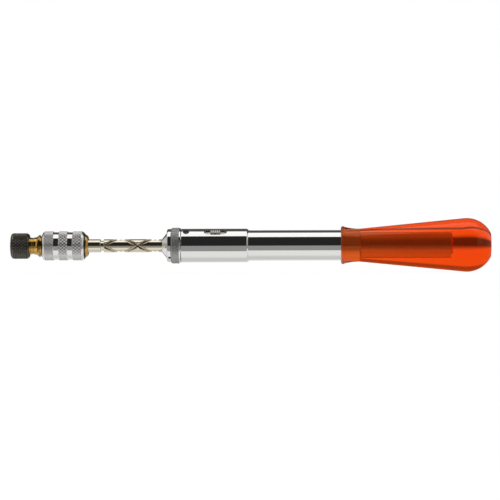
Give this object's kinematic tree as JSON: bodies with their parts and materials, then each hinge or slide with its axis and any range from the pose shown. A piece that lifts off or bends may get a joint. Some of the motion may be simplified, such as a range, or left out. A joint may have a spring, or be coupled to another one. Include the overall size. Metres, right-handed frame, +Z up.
{
  "type": "pin vise drill",
  "caption": "Push drill with a double-spiral spindle, ratchet selector, lock ring, quick-release chuck holding a brass pin vise with a split collet, and a bulbous translucent handle.",
  "frame": {"origin": "centre of the bounding box, on the tool's axis, with the spindle fully out", "axes": "+X along the tool from the collet towards the handle, +Z up with the selector on the upper side towards -Y"},
  "size_m": [0.255, 0.0284, 0.0284],
  "materials": {
    "orange_acetate": "translucent polished cellulose acetate",
    "chrome": "polished chrome plate",
    "steel": "plain machined steel",
    "bright_steel": "bright worn steel",
    "nickel": "warm nickel plate",
    "brass": "turned brass",
    "black_oxide": "satin black oxide"
  },
  "bodies": {
    "barrel": {"handle": "orange_acetate", "outer_tube": "chrome", "handle_tang": "steel", "ratchet_housing": "chrome", "ratchet_guide": "steel", "housing_screw": "steel", "nose_cap": "chrome", "spindle_bush": "brass", "lock_pin": "steel", "drive_nut": "steel", "front_washer": "steel", "nut_spacer": "steel", "nut_retainer": "steel", "drive_pawl_pin": "steel", "idle_pawl_pin": "steel", "return_spring": "steel"},
    "lock_ring": {"lock_ring": "chrome"},
    "selector": {"selector_button": "bright_steel", "selector_plate": "steel"},
    "drive_pawl": {"drive_pawl": "steel"},
    "idle_pawl": {"idle_pawl": "steel"},
    "idle_nut": {"idle_nut": "steel"},
    "follower": {"spring_follower": "steel"},
    "spindle": {"spindle": "nickel", "stop_collar": "steel", "stop_pin": "steel", "chuck_body": "brass", "chuck_pin": "steel", "sleeve_clip": "black_oxide", "collar_ring": "black_oxide", "vise_body": "brass", "sleeve_spring": "steel"},
    "sleeve": {"chuck_sleeve": "chrome"},
    "ball": {"chuck_ball": "steel"},
    "collet": {"collet": "steel"},
    "collet_nut": {"collet_nut": "black_oxide"}
  },
  "joints": [
    {"name": "push_slide", "type": "slide", "parent": "barrel", "child": "follower", "axis": [1, 0, 0], "range_m": [0, 0.0385], "stiffness_N_per_m": 400, "springref_m": -0.02, "deforming": ["return_spring"]},
    {"name": "spindle_spin", "type": "hinge", "parent": "follower", "child": "spindle", "pos_m": [-0.00205, 0, 0], "axis": [1, 0, 0], "range_deg": [-380, 0]},
    {"name": "idle_nut_spin", "type": "hinge", "parent": "barrel", "child": "idle_nut", "pos_m": [-0.01745, 0, 0], "axis": [1, 0, 0], "range_deg": [-760, 0]},
    {"name": "selector_slide", "type": "slide", "parent": "barrel", "child": "selector", "axis": [1, 0, 0], "range_m": [-0.003, 0.003]},
    {"name": "drive_pawl_rock", "type": "hinge", "parent": "barrel", "child": "drive_pawl", "pos_m": [-0.02125, -0.00392, 0.0054], "axis": [0, -0.809, -0.5878], "range_deg": [-3, 3]},
    {"name": "idle_pawl_rock", "type": "hinge", "parent": "barrel", "child": "idle_pawl", "pos_m": [-0.01505, -0.00392, 0.0054], "axis": [0, -0.809, -0.5878], "range_deg": [-3, 3]},
    {"name": "lock_ring_turn", "type": "hinge", "parent": "barrel", "child": "lock_ring", "pos_m": [-0.03665, 0, 0], "axis": [1, 0, 0], "range_deg": [0, 50]},
    {"name": "sleeve_slide", "type": "slide", "parent": "spindle", "child": "sleeve", "axis": [1, 0, 0], "range_m": [0, 0.0035], "stiffness_N_per_m": 800, "springref_m": -0.003, "deforming": ["sleeve_spring"]},
    {"name": "ball_slide", "type": "slide", "parent": "spindle", "child": "ball", "axis": [0, 0, 1], "range_m": [0, 0.00075]},
    {"name": "collet_slide", "type": "slide", "parent": "spindle", "child": "collet", "axis": [1, 0, 0], "range_m": [-0.00075, 0.0015]},
    {"name": "nut_turn", "type": "hinge", "parent": "collet", "child": "collet_nut", "pos_m": [-0.11705, 0, 0], "axis": [1, 0, 0], "range_deg": [-360, 720]}
  ],
  "couplings": [
    {"joint": "spindle_spin", "follows": "push_slide", "rad_per_m": -172.14},
    {"joint": "idle_nut_spin", "follows": "push_slide", "rad_per_m": -344.28},
    {"joint": "drive_pawl_rock", "follows": "selector_slide", "rad_per_m": -17.45},
    {"joint": "idle_pawl_rock", "follows": "selector_slide", "rad_per_m": -17.45},
    {"joint": "ball_slide", "follows": "sleeve_slide", "ratio": 0.21429},
    {"joint": "nut_turn", "follows": "collet_slide", "rad_per_m": 8377.5}
  ]
}
